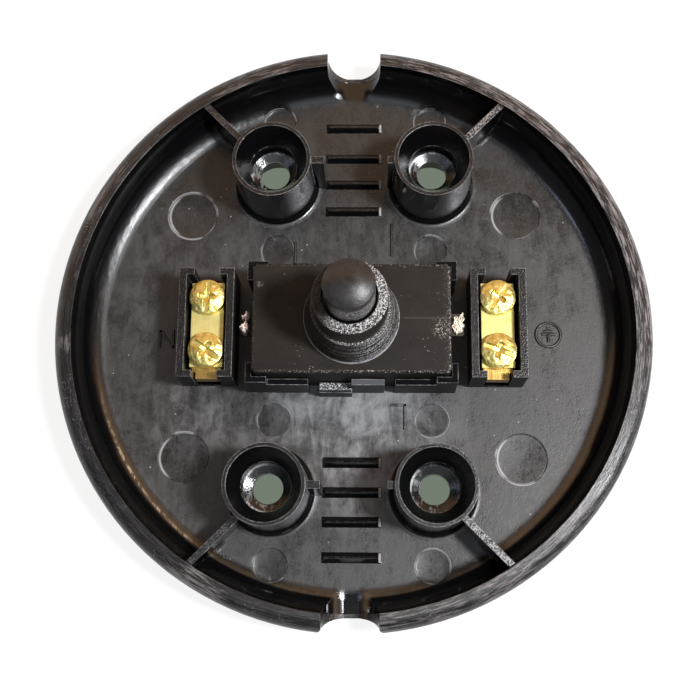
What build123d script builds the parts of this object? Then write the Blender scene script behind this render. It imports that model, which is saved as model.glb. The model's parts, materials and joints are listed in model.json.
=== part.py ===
from build123d import *
import math
import os

# Round floor foot switch with its cover off: a moulded tray, two screw terminals and a push-on
# push-off switch block, with the button up.
# Millimetres, +Z up, origin at the centre of the underside, X to the right and Y away from the front.
# Heights are above the tray's floor unless a comment says otherwise.

# Tray: floor, cove, upright wall, flat rim and rounded shoulder
floor_thickness = 2.5
tray_radius = 50.0
tray_taper = 3.2
tray_foot_chamfer = 0.8
rim_height = 7.1
rim_width = 3.1
rim_land = 1.2
shoulder_drop = 1.9
shoulder_bulge = 0.45
cove_width = 4.0
cove_foot_angle = 20

# Cord notches through the rim, front and back
notch_radius = 4.62
notch_axis_height = 4.45
notch_corner = 0.7

# Cord-grip ridges on the floor, in line with the notches
ridge_places = (22.2, 27.2, 32.1, 37.9)
ridge_length = 9.9
ridge_width = 1.8
ridge_height = 0.85
ridge_crest_length = 8.9
ridge_crest_width = 0.25

# Screw bosses: a tapered socket and a seat for the cover's post, a dished web with the screw hole, and a
# recess for the screw's head
boss_spacing_x = 27.1
boss_spacing_y = 54.2
boss_height = 12.5
boss_top_radius = 6.55
boss_root_radius = 6.9
boss_foot_radius = 7.95
boss_foot_lip = 0.15
socket_radius = 5.95
seat_height = 8.2
seat_radius = 4.05
web_top_height = 4.7
web_dish = 0.6
web_thickness = 1.3
screw_hole_radius = 2.5
screw_recess_radius = 4.4

# Fins on the bosses beside the cord, and braces from the bosses to the rim
fin_gap = 10.65
fin_gap_shift = 0.57
fin_thickness = 1.25
fin_drop = 0.6
brace_thickness = 1.1
brace_drop = 0.1
brace_bite = 0.2
brace_angle = 45

# Ejector marks, sunk a little into the floor
mark_depth = 0.2
small_mark_radius = 2.9
small_mark_x = 13.4
small_mark_y = 15.0
small_mark_inset = 10.8
large_mark_radius = 4.33
large_mark_x = 28.4
large_mark_y = 21.45

# Terminal pockets, with a wire slot in each end wall
terminal_gap = 8.05
pocket_inner_width = 6.75
pocket_inner_length = 16.3
pocket_wall = 1.2
pocket_end_wall = 1.1
pocket_height = 8.6
wire_slot_width = 4.2
wire_slot_sill = 0.8
terminal_seat_height = 3.0
terminal_clearance = 0.25

# Brass terminals: tapped bar, clamp strip and two screws each
bar_thickness = 2.4
bar_width = 4.9
bar_back_inset = 0.6
bar_tongue_reach = 0.85
strip_width = 5.45
strip_length = 14.4
strip_thickness = 1.0
screw_pitch = 9.05
screw_head_radius = 2.93
screw_head_height = 1.9
screw_head_crown = 0.7
screw_slot_width = 0.9
screw_slot_depth = 0.8
screw_shank_radius = 1.7
screw_length = 5.2
thread_clearance = 0.03
screw_clearance = 0.3

# Switch block: lower base and upper cover, which meet at the contacts' height
switch_length = 32.3
switch_width = 18.2
switch_height = 11.45
switch_corner = 0.9
switch_edge_round = 0.4
switch_wall = 1.4
switch_floor = 1.6
switch_roof = 1.6
seam_height = 6.6
tongue_thickness = 0.6
tongue_depth = 0.9
tongue_clearance = 0.1

# Collar on the switch block, flared and stepped, with the button's guide inside; rises are above the
# block's top
collar_foot_radius = 7.8
collar_foot_rise = 0.4
collar_neck_radius = 6.35
collar_neck_rise = 6.95
collar_radius = 5.92
collar_rise = 13.0
collar_edge = 0.3
collar_guide_radius = 4.95
collar_lip = 2.15
collar_mouth_radius = 4.38

# Push button
button_radius = 3.93
button_proud = 7.75
button_crown = 1.1
button_edge_round = 0.2
button_roof = 4.0
press_travel = 4.5
press_clearance = 0.3
guide_clearance = 0.08
stop_clearance = 0.05

# Rotor on the base's post, and the ramped teeth by which the button turns it
post_radius = 1.6
post_height = 15.0
post_shoulder_radius = 2.4
post_shoulder_height = 4.85
rotor_clearance = 0.06
rotor_radius = 6.2
rotor_disc_thickness = 1.0
rotor_hub_radius = 2.15
rotor_hub_height = 2.4
rotor_rail_width = 1.1
rotor_rail_length = 8.0
tooth_count = 4
tooth_height = 2.6
tooth_inner_radius = 3.35
tooth_width = 4.4
tooth_lean = 0.6
skirt_tooth_height = 1.4

# Contact bridge under the rotor
bridge_length = 13.6
bridge_width = 5.2
bridge_thickness = 0.7
bridge_clearance = 0.05
bridge_post_clearance = 0.3

# Fixed contacts: folded strips from the lugs to the rivets
contact_width = 3.8
contact_thickness = 0.8
contact_run_height = 2.4
contact_inner_end = 4.0
contact_step_gap = 1.4
contact_bend = 0.6
contact_clearance = 0.1
lug_reach = 2.4
lug_fork_width = 1.3
lug_fork_depth = 1.1
lug_fork_offset = 0.3
lug_corner = 0.35

# Contact rivets
rivet_place = 5.6
fixed_rivet_radius = 1.5
fixed_rivet_height = 0.8
bridge_rivet_radius = 1.2
rivet_shank_radius = 0.7
rivet_gap = 0.05
rivet_clearance = 0.02

# Return spring
spring_radius = 2.55
spring_wire_radius = 0.25
spring_turns = 7
spring_clearance = 0.1
spring_bore_radius = 3.2

# Cradle round the switch block
cradle_clearance = 0.2
cradle_wall = 1.0
cradle_height = 9.0
cradle_leg_x = 3.45
cradle_leg_y = 3.3
low_wall_height = 7.0
latch_half_width = 5.4
latch_slot = 1.8
latch_step_height = 3.8
latch_step_depth = 0.7

# Worked-out heights and places
reach = 1.0
tray_foot_radius = tray_radius - tray_taper
rim_inner_radius = tray_radius - rim_width
small_mark_places = (small_mark_y, tray_radius - small_mark_inset)
terminal_x = switch_length / 2 + terminal_gap
bar_top = terminal_seat_height + bar_thickness
strip_top = bar_top + strip_thickness
screw_tip = strip_top - screw_length
collar_top = switch_height + collar_rise
lip_bottom = collar_top - collar_lip
button_top = collar_top + button_proud
rotor_bottom = post_shoulder_height + stop_clearance
bridge_top = rotor_bottom + bridge_thickness
disc_top = bridge_top + rotor_disc_thickness
hub_top = disc_top + rotor_hub_height
tooth_top = disc_top + tooth_height
skirt_bottom = tooth_top + press_travel + press_clearance
spring_bottom = disc_top + spring_clearance
spring_top = button_top - button_roof - spring_clearance
skirt_radius = collar_guide_radius - guide_clearance
fixed_rivet_top = contact_run_height + contact_thickness + fixed_rivet_height
cradle_x = switch_length / 2 + cradle_clearance
cradle_y = switch_width / 2 + cradle_clearance
switch_inner_length = switch_length - 2 * switch_wall
switch_inner_width = switch_width - 2 * switch_wall
SIDES = (-1, 1)


def above(height):
    """Height above the tray's floor, as a Z of the part."""
    return floor_thickness + height


def slab(x, y, z):
    """Block between two X, two Y and two Z, each pair as (low, high)."""
    size = [high - low for low, high in (x, y, z)]
    middle = [(high + low) / 2 for low, high in (x, y, z)]
    return Pos(*middle) * Box(*size)


def even(size):
    """Pair of ends for a size centred on zero."""
    return -size / 2, size / 2


def span(side, near, far):
    """Pair of ends, low first, for a stretch on one side of zero."""
    return sorted((side * near, side * far))


def turned(*points):
    """Solid turned about Z from a closed outline of (radius, Z) points."""
    return revolve(Plane.XZ * make_face(Polyline(*points, close=True)), Axis.Z)


def drum(radius, low, high, x=0, y=0):
    """Upright cylinder between two Z."""
    return Pos(x, y, (low + high) / 2) * Cylinder(radius, high - low)


def rounded_block(length, width, corner, low, high):
    """Block with rounded upright edges between two Z."""
    return Pos(0, 0, low) * extrude(RectangleRounded(length, width, corner), high - low)


# Tray

def tray_shell():
    """Dished plate, turned in one: taper up to the widest radius, shoulder, rim, wall, cove and floor."""
    cove_radius = cove_width / (1 - math.sin(math.radians(cove_foot_angle)))
    cove_height = cove_radius * math.cos(math.radians(cove_foot_angle))
    top = above(rim_height)
    widest = (tray_radius, top - shoulder_drop)
    land_edge = (rim_inner_radius + rim_land, top)
    foot_edge = (tray_foot_radius - tray_foot_chamfer, 0)
    foot_side = (tray_foot_radius, tray_foot_chamfer)
    cove_top = (rim_inner_radius, above(cove_height))
    cove_foot = (rim_inner_radius - cove_width, floor_thickness)
    outline = [
        Line((0, 0), foot_edge),
        Line(foot_edge, foot_side),
        Line(foot_side, widest),
        SagittaArc(widest, land_edge, -shoulder_bulge),
        Line(land_edge, (rim_inner_radius, top)),
        Line((rim_inner_radius, top), cove_top),
        RadiusArc(cove_top, cove_foot, cove_radius),
        Line(cove_foot, (0, floor_thickness)),
        Line((0, floor_thickness), (0, 0)),
    ]
    return revolve(Plane.XZ * make_face(outline), Axis.Z)


def boss_places():
    return [(sx * boss_spacing_x / 2, sy * boss_spacing_y / 2, sx, sy) for sx in SIDES for sy in SIDES]


def boss_body():
    """Outside of a boss: slight taper and a hollow-rounded foot."""
    flare = boss_foot_radius - boss_root_radius
    foot = (boss_foot_radius, above(boss_foot_lip))
    root = (boss_root_radius, above(boss_foot_lip + flare))
    outline = [
        Line((0, 0), (boss_foot_radius, 0)),
        Line((boss_foot_radius, 0), foot),
        RadiusArc(foot, root, flare),
        Line(root, (boss_top_radius, above(boss_height))),
        Line((boss_top_radius, above(boss_height)), (0, above(boss_height))),
        Line((0, above(boss_height)), (0, 0)),
    ]
    return revolve(Plane.XZ * make_face(outline), Axis.Z)


def boss_hollow():
    """Hole of a boss: tapered socket, seat, screw hole in the dished web, and the recess below."""
    top = above(boss_height)
    seat = above(seat_height)
    web_top = above(web_top_height)
    web_bottom = web_top - web_thickness
    return turned(
        (0, top + reach), (socket_radius, top + reach), (socket_radius, top), (seat_radius, seat),
        (seat_radius, web_top + web_dish), (screw_hole_radius, web_top), (screw_hole_radius, web_bottom),
        (screw_recess_radius, web_bottom), (screw_recess_radius, -reach), (0, -reach))


def boss_fin(x, y, sx):
    """Fin from a boss towards the cord."""
    end = fin_gap / 2 + sx * fin_gap_shift
    fin = slab(span(sx, end, abs(x)), even(fin_thickness), (0, above(boss_height - fin_drop)))
    return Pos(0, y, 0) * fin


def boss_brace(x, y, sx, sy):
    """Brace from a boss out to the rim's wall, trimmed inside the wall."""
    block = slab((0, rim_inner_radius), even(brace_thickness),
                 (above(-brace_bite), above(rim_height - brace_drop)))
    heading = math.degrees(math.atan2(sy * math.sin(math.radians(brace_angle)),
                                      sx * math.cos(math.radians(brace_angle))))
    inside = drum(rim_inner_radius + brace_bite, 0, above(rim_height))
    return (Pos(x, y, 0) * Rot(0, 0, heading) * block) & inside


def cord_ridge(y):
    """Low hipped ridge across the cord's way."""
    root = Pos(0, y, floor_thickness) * Rectangle(ridge_length, ridge_width)
    crest = Pos(0, y, above(ridge_height)) * Rectangle(ridge_crest_length, ridge_crest_width)
    return loft([root.face(), crest.face()])


def notch_corner_cut(sx, sy):
    """Sliver that rounds the upright corner between a notch's side and the rim's outer edge."""
    x = notch_radius + notch_corner
    y = math.sqrt((tray_radius - notch_corner) ** 2 - x ** 2)
    top = above(rim_height) + reach
    corner = slab(span(sx, notch_radius - reach, x), span(sy, y, tray_radius + reach), (0, top))
    return corner - drum(notch_corner, -reach, top + reach, sx * x, sy * y)


def cord_notch(sy):
    """Round-bottomed notch through the rim, level with the floor, with rounded corners outside."""
    start = rim_inner_radius - cove_width
    length = tray_radius + reach - start
    axis = Pos(0, sy * (start + length / 2), above(notch_axis_height)) * Rot(90, 0, 0)
    top = above(rim_height) + reach
    mouth = slab(even(2 * notch_radius), span(sy, start, start + length), (above(notch_axis_height), top))
    over_floor = slab(even(2 * tray_radius), span(sy, 0, 2 * tray_radius), (floor_thickness, top))
    corners = [notch_corner_cut(sx, sy) for sx in SIDES]
    return [(axis * Cylinder(notch_radius, length)) & over_floor, mouth, *corners]


def ejector_marks():
    """Shallow discs to cut from the floor."""
    places = [(sx * small_mark_x, sy * y, small_mark_radius)
              for y in small_mark_places for sx in SIDES for sy in SIDES]
    places += [(sx * large_mark_x, sy * large_mark_y, large_mark_radius) for sx in SIDES for sy in SIDES]
    return [drum(radius, above(-mark_depth), above(reach), x, y) for x, y, radius in places]


def terminal_pocket(sx):
    """Walls of a terminal pocket with its raised seat and wire slots."""
    outer_width = pocket_inner_width + 2 * pocket_wall
    outer_length = pocket_inner_length + 2 * pocket_end_wall
    hollow = (above(terminal_seat_height), above(pocket_height) + reach)
    walls = slab(even(outer_width), even(outer_length), (0, above(pocket_height)))
    walls -= slab(even(pocket_inner_width), even(pocket_inner_length), hollow)
    slot = (above(wire_slot_sill), above(pocket_height) + reach)
    for sy in SIDES:
        walls -= slab(even(wire_slot_width), span(sy, pocket_inner_length / 2, outer_length / 2 + reach), slot)
    return Pos(sx * terminal_x, 0, 0) * walls


def cradle():
    """Corner posts, low walls and the front latch that hold the switch block."""
    outer_x = cradle_x + cradle_wall
    outer_y = cradle_y + cradle_wall
    post = (0, above(cradle_height))
    low = (0, above(low_wall_height))
    post_start = outer_x - cradle_leg_x
    walls = []
    for sx in SIDES:
        for sy in SIDES:
            along = span(sy, cradle_y, outer_y)
            walls.append(slab(span(sx, cradle_x, outer_x), span(sy, outer_y - cradle_leg_y, outer_y), post))
            walls.append(slab(span(sx, post_start, outer_x), along, post))
            walls.append(slab(span(sx, latch_half_width + latch_slot, post_start), along, low))
    walls.append(slab((0, latch_half_width), (-outer_y, -cradle_y), low))
    walls.append(slab((-latch_half_width, 0), (-outer_y - latch_step_depth, -cradle_y),
                      (0, above(latch_step_height))))
    return walls


def base_tray():
    """The whole moulding: everything raised is joined first, then the holes are cut."""
    tray = tray_shell()
    raised = []
    for x, y, sx, sy in boss_places():
        raised += [Pos(x, y, 0) * boss_body(), boss_fin(x, y, sx), boss_brace(x, y, sx, sy)]
    raised += [cord_ridge(sy * y) for y in ridge_places for sy in SIDES]
    raised += cradle()
    raised += [terminal_pocket(sx) for sx in SIDES]
    tray = tray.fuse(*raised)
    cuts = [Pos(x, y, 0) * boss_hollow() for x, y, sx, sy in boss_places()]
    for sy in SIDES:
        cuts += cord_notch(sy)
    cuts += ejector_marks()
    for sx in SIDES:
        for sy in SIDES:
            cuts.append(drum(screw_shank_radius + screw_clearance, above(screw_tip - screw_clearance),
                             above(terminal_seat_height), sx * terminal_x, sy * screw_pitch / 2))
    return tray.cut(*cuts)


# Terminals

def screw_holes(radius, z):
    """A terminal's two screw holes, cut right through between two Z."""
    return [drum(radius, z[0] - reach, z[1] + reach, 0, sy * screw_pitch / 2) for sy in SIDES]


def terminal_bar(sx):
    """Tapped brass bar under the strip, with a tongue that lies in the front wire slot."""
    z = (above(terminal_seat_height), above(bar_top))
    front = -pocket_inner_length / 2
    back = pocket_inner_length / 2 - bar_back_inset
    bar = slab(even(bar_width), (front + terminal_clearance, back), z)
    bar += slab(even(wire_slot_width - 2 * terminal_clearance), (front - bar_tongue_reach, back), z)
    for hole in screw_holes(screw_shank_radius + thread_clearance, z):
        bar -= hole
    return Pos(sx * terminal_x, 0, 0) * bar


def clamp_strip(sx):
    """Brass strip between the screw heads and the bar."""
    z = (above(bar_top), above(strip_top))
    strip = slab(even(strip_width), even(strip_length), z)
    for hole in screw_holes(screw_shank_radius + screw_clearance, z):
        strip -= hole
    return Pos(sx * terminal_x, 0, 0) * strip


def terminal_screw(sx, sy):
    """Slotted screw with a crowned head, seated on the strip."""
    seat = above(strip_top)
    side = seat + screw_head_height - screw_head_crown
    crown = seat + screw_head_height
    outline = [
        Line((0, above(screw_tip)), (screw_shank_radius, above(screw_tip))),
        Line((screw_shank_radius, above(screw_tip)), (screw_shank_radius, seat)),
        Line((screw_shank_radius, seat), (screw_head_radius, seat)),
        Line((screw_head_radius, seat), (screw_head_radius, side)),
        TangentArc((0, crown), (screw_head_radius, side), tangent=(1, 0)),
        Line((0, crown), (0, above(screw_tip))),
    ]
    screw = revolve(Plane.XZ * make_face(outline), Axis.Z)
    slot = (crown - screw_slot_depth, crown + reach)
    screw -= slab(even(screw_slot_width), even(4 * screw_head_radius), slot)
    return Pos(sx * terminal_x, sy * screw_pitch / 2, 0) * screw


# Switch block

def contact_slot(sx):
    """Way through one of the block's end walls for its contact strip."""
    return slab(span(sx, switch_inner_length / 2 - reach, switch_length / 2 + reach),
                even(contact_width + 2 * contact_clearance),
                (above(seam_height - contact_thickness), above(seam_height)))


def switch_base():
    """Lower half: box with the rotor's post, the contacts' seats and a rebate for the cover's tongue."""
    seam = above(seam_height)
    inside = above(switch_floor)
    rebate = tongue_thickness + tongue_clearance
    inner_corner = max(switch_corner - switch_wall, switch_corner / 2)
    base = rounded_block(switch_length, switch_width, switch_corner, floor_thickness, seam)
    base -= rounded_block(switch_inner_length, switch_inner_width, inner_corner, inside, seam + reach)
    base -= rounded_block(switch_inner_length + 2 * rebate, switch_inner_width + 2 * rebate, inner_corner,
                          seam - tongue_depth - tongue_clearance, seam + reach)
    base += drum(post_radius, above(0), above(post_height))
    base += drum(post_shoulder_radius, above(0), above(post_shoulder_height))
    for sx in SIDES:
        base += slab(span(sx, contact_inner_end, switch_inner_length / 2), even(contact_width),
                     (above(0), above(contact_run_height)))
        base -= contact_slot(sx)
        base -= drum(rivet_shank_radius + rivet_clearance, above(contact_run_height - rivet_shank_radius),
                     above(contact_run_height) + reach, sx * rivet_place)
    return base


def collar():
    """Flared collar, turned: lip, cone, step and straight neck with a small edge at its top."""
    foot = above(switch_height + collar_foot_rise)
    neck = above(switch_height + collar_neck_rise)
    top = above(collar_top)
    root = above(switch_height - switch_roof)
    return turned(
        (0, root), (collar_foot_radius, root), (collar_foot_radius, foot), (collar_neck_radius, neck),
        (collar_radius, neck), (collar_radius, top - collar_edge), (collar_radius - collar_edge, top),
        (0, top))


def switch_cover():
    """Upper half: roofed box with the collar, the button's guide and a tongue into the base."""
    seam = above(seam_height)
    top = above(switch_height)
    inner_corner = max(switch_corner - switch_wall, switch_corner / 2)
    cover = rounded_block(switch_length, switch_width, switch_corner, seam, top)
    cover = fillet(cover.edges().group_by(Axis.Z)[-1], switch_edge_round)
    cover -= rounded_block(switch_inner_length, switch_inner_width, inner_corner, seam - reach,
                           top - switch_roof)
    tongue_out = 2 * tongue_thickness
    tongue_end = seam - tongue_depth
    tongue = rounded_block(switch_inner_length + tongue_out, switch_inner_width + tongue_out, inner_corner,
                           tongue_end, top - switch_roof)
    tongue -= rounded_block(switch_inner_length, switch_inner_width, inner_corner, tongue_end - reach, top)
    tongue -= slab(even(2 * switch_length), even(contact_width + 2 * contact_clearance),
                   (tongue_end - reach, seam))
    cover = cover + tongue + collar()
    cover -= drum(collar_guide_radius, top - switch_roof - reach, above(lip_bottom))
    cover -= drum(collar_mouth_radius, top, above(collar_top) + reach)
    return cover


def fixed_contact(sx):
    """Folded strip: lug outside the block, step down inside, and a run under the bridge's end."""
    thick = contact_thickness
    top = above(seam_height)
    low = above(contact_run_height)
    end = switch_length / 2 + lug_reach
    step = switch_inner_length / 2 - contact_step_gap
    profile = Polyline((contact_inner_end, low), (step, low), (step, top - thick), (end, top - thick),
                       (end, top), (step - thick, top), (step - thick, low + thick),
                       (contact_inner_end, low + thick), close=True)
    face = make_face(profile)
    outer_bends = [v for v in face.vertices() if (v.X, v.Y) in ((step, low), (step - thick, top))]
    face = fillet(outer_bends, contact_bend)
    strip = extrude(Plane.XZ * face, contact_width / 2, both=True)
    fork = (lug_fork_offset - lug_fork_width / 2, lug_fork_offset + lug_fork_width / 2)
    strip -= slab((end - lug_fork_depth, end + reach), fork, (top - thick - reach, top + reach))
    strip -= drum(rivet_shank_radius + rivet_clearance, low - reach, low + thick + reach, rivet_place)
    lug_edges = [e for e in strip.edges().filter_by(Axis.Z) if abs(e.center().X - end) < contact_clearance]
    strip = fillet(lug_edges, lug_corner)
    return strip if sx > 0 else strip.rotate(Axis.Z, 180)


def fixed_rivet(sx):
    """Contact rivet in a fixed strip: head on top, shank into the base's seat."""
    head = above(contact_run_height + contact_thickness)
    tip = above(contact_run_height - rivet_shank_radius)
    x = sx * rivet_place
    rivet = drum(fixed_rivet_radius, head, above(fixed_rivet_top), x)
    return rivet + drum(rivet_shank_radius, tip, head, x)


# Button, rotor and bridge

def ramp_teeth(inner, outer, root, height):
    """Ring of ramped teeth that stand on a Z, or hang from it where the height is negative."""
    low, high = sorted((root, root + height))
    ring = drum(outer, low, high) - drum(inner, low - reach, high + reach)
    back, front = even(tooth_width)
    ramp = Polyline((back, root), (front, root), (front - tooth_lean, root + height), close=True)
    wedge = extrude(Plane.YZ * make_face(ramp), outer)
    return [ring & (Rot(0, 0, 360 / tooth_count * step) * wedge) for step in range(tooth_count)]


def push_button():
    """Domed button with its flange, skirt and ramped teeth, hollow for the spring."""
    top = above(button_top)
    rim = top - button_crown
    stop = above(lip_bottom - stop_clearance)
    bottom = above(skirt_bottom + skirt_tooth_height)
    bore_top = top - button_roof
    outline = [
        Line((spring_bore_radius, bottom), (skirt_radius, bottom)),
        Line((skirt_radius, bottom), (skirt_radius, stop)),
        Line((skirt_radius, stop), (button_radius, stop)),
        Line((button_radius, stop), (button_radius, rim)),
        TangentArc((0, top), (button_radius, rim), tangent=(1, 0)),
        Line((0, top), (0, bore_top)),
        Line((0, bore_top), (spring_bore_radius, bore_top)),
        Line((spring_bore_radius, bore_top), (spring_bore_radius, bottom)),
    ]
    face = make_face(outline)
    face = fillet(face.vertices().sort_by_distance((button_radius, rim))[0], button_edge_round)
    button = revolve(Plane.XZ * face, Axis.Z)
    return button.fuse(*ramp_teeth(spring_bore_radius, skirt_radius, bottom, -skirt_tooth_height))


def index_rotor():
    """Rotor: disc and hub on the post, rails that hold the bridge, and a crown of ramped teeth."""
    bottom = above(rotor_bottom)
    disc = above(bridge_top)
    rotor = drum(rotor_radius, disc, above(disc_top)) + drum(rotor_hub_radius, disc, above(hub_top))
    rail_in = bridge_width / 2 + bridge_clearance
    for sy in SIDES:
        rotor += slab(even(rotor_rail_length), span(sy, rail_in, rail_in + rotor_rail_width),
                      (bottom, above(disc_top)))
    rotor = rotor.fuse(*ramp_teeth(tooth_inner_radius, skirt_radius, above(disc_top), tooth_height))
    return rotor - drum(post_radius + rotor_clearance, bottom - reach, above(tooth_top) + reach)


def contact_bridge():
    """Brass strip under the rotor, open round the post."""
    bottom = above(rotor_bottom)
    top = above(bridge_top)
    strip = Pos(0, 0, bottom) * extrude(SlotOverall(bridge_length, bridge_width), top - bottom)
    strip -= drum(post_radius + bridge_post_clearance, bottom - reach, top + reach)
    for sx in SIDES:
        strip -= drum(rivet_shank_radius + rivet_clearance, bottom - reach, top + reach, sx * rivet_place)
    return strip


def bridge_rivet(sx):
    """Contact rivet in the bridge, just clear of the fixed one."""
    x = sx * rivet_place
    head = above(rotor_bottom)
    rivet = drum(bridge_rivet_radius, above(fixed_rivet_top + rivet_gap), head, x)
    return rivet + drum(rivet_shank_radius, head, above(bridge_top), x)


def return_spring():
    """Round-wire coil spring between the rotor's hub and the button's roof."""
    low = above(spring_bottom) + spring_wire_radius
    high = above(spring_top) - spring_wire_radius
    path = Pos(0, 0, low) * Helix((high - low) / spring_turns, high - low, spring_radius)
    wire = Plane(path @ 0, z_dir=path % 0) * Circle(spring_wire_radius)
    return sweep(wire, path=path)


def pieces():
    """Every piece by its node's name."""
    made = {"base_tray": base_tray()}
    for name, sx in (("neutral", -1), ("earth", 1)):
        made[name + "_terminal_bar"] = terminal_bar(sx)
        made[name + "_clamp_strip"] = clamp_strip(sx)
        made[name + "_screw_back"] = terminal_screw(sx, 1)
        made[name + "_screw_front"] = terminal_screw(sx, -1)
    made["switch_base"] = switch_base()
    made["switch_cover"] = switch_cover()
    made["push_button"] = push_button()
    made["return_spring"] = return_spring()
    made["index_rotor"] = index_rotor()
    made["contact_bridge"] = contact_bridge()
    for name, sx in (("left", -1), ("right", 1)):
        made["contact_" + name] = fixed_contact(sx)
        made["fixed_tip_" + name] = fixed_rivet(sx)
        made["bridge_tip_" + name] = bridge_rivet(sx)
    return made


os.makedirs("parts", exist_ok=True)
for node, shape in pieces().items():
    export_step(shape, "parts/" + node + ".step")
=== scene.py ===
import json
import math
import random

import bmesh
import bpy
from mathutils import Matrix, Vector, noise


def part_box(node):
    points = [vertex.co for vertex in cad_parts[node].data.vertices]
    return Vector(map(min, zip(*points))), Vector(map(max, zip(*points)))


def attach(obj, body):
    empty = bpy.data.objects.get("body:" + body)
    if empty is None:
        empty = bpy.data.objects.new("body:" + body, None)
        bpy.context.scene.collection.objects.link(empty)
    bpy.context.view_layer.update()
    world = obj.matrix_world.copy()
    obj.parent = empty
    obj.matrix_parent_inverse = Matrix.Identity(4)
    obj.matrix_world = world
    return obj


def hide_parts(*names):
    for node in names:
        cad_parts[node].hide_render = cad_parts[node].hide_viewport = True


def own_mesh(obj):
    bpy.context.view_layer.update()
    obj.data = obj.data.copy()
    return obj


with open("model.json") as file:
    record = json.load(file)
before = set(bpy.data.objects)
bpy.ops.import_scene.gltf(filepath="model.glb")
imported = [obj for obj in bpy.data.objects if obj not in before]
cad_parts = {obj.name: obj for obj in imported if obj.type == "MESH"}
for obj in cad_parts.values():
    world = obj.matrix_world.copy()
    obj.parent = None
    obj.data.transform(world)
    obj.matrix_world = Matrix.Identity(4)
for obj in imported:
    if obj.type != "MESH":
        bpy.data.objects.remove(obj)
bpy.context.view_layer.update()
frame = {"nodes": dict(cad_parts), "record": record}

# Sizes in metres, in the part's frame, measured on the photograph through the fitted camera
MM = 0.001
COVE_FOOT_RADIUS = 42.9 * MM
RIM_INNER_RADIUS = 46.9 * MM
RIM_LAND_RADIUS = 48.1 * MM
SOCKET_RADIUS = 5.95 * MM
SEAT_TOP = 10.7 * MM
WEB_TOP = 7.8 * MM
LARGE_DISC = (28.4 * MM, 21.45 * MM)
LARGE_DISC_RADIUS = 4.33 * MM
SMALL_DISC_X = 13.4 * MM
SMALL_DISC_ROWS = (15.0 * MM, 39.2 * MM)
SMALL_DISC_RADIUS = 2.9 * MM
CRADLE_HALF_LENGTH = 17.7 * MM
CRADLE_HALF_WIDTH = 10.5 * MM
LATCH_HALF_LENGTH = 5.45 * MM
BLOCK_TOP = 13.95 * MM
COLLAR_STEP = 20.9 * MM

# Sizes read from the solids
FLOOR_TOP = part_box("switch_base")[0][2]
BLOCK_HALF_LENGTH, BLOCK_HALF_WIDTH, COLLAR_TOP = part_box("switch_cover")[1]
LUG_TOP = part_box("contact_left")[1][2]

# Camera fitted to the photograph
CAMERA_PLACE = (3.832 * MM, -44.931 * MM, 187.697 * MM)
CAMERA_TURN = (0.2237, 0.0215, 0.0074)
CAMERA_LENS = 56.94

spacing = next(m["dims"] for m in frame["record"]["mounts"] if m["name"] == "cover_screws")
BOSS_X = spacing["spacing_x_mm"] / 2 * MM
BOSS_Y = spacing["spacing_y_mm"] / 2 * MM


# Shader maths

class Wire:
    """A node's output, with arithmetic on numbers that adds Math nodes."""

    def __init__(self, nodes, socket):
        self.nodes = nodes
        self.socket = socket

    def math(self, operation, first, second):
        return self.nodes.add("ShaderNodeMath", {"operation": operation}, {0: first, 1: second})

    def __add__(self, other):
        return self.math("ADD", self, other)

    def __radd__(self, other):
        return self.math("ADD", other, self)

    def __sub__(self, other):
        return self.math("SUBTRACT", self, other)

    def __rsub__(self, other):
        return self.math("SUBTRACT", other, self)

    def __mul__(self, other):
        return self.math("MULTIPLY", self, other)

    def __rmul__(self, other):
        return self.math("MULTIPLY", other, self)

    def __truediv__(self, other):
        return self.math("DIVIDE", self, other)

    def __pow__(self, other):
        return self.math("POWER", self, other)

    def __abs__(self):
        return self.math("ABSOLUTE", self, 0)

    def above(self, low, high):
        """0 below low, 1 over high and a smooth step between."""
        return self.nodes.add("ShaderNodeMapRange", {"interpolation_type": "SMOOTHSTEP"}, {
            "Value": self, "From Min": low, "From Max": high})

    def near(self, value, inner, outer):
        """1 within inner of a value, 0 beyond outer and a smooth step between."""
        return 1 - abs(self - value).above(inner, outer)

    def sign(self):
        return self.math("SIGN", self, 0)

    def most(self, other):
        return self.math("MAXIMUM", self, other)

    def least(self, other):
        return self.math("MINIMUM", self, other)


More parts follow.
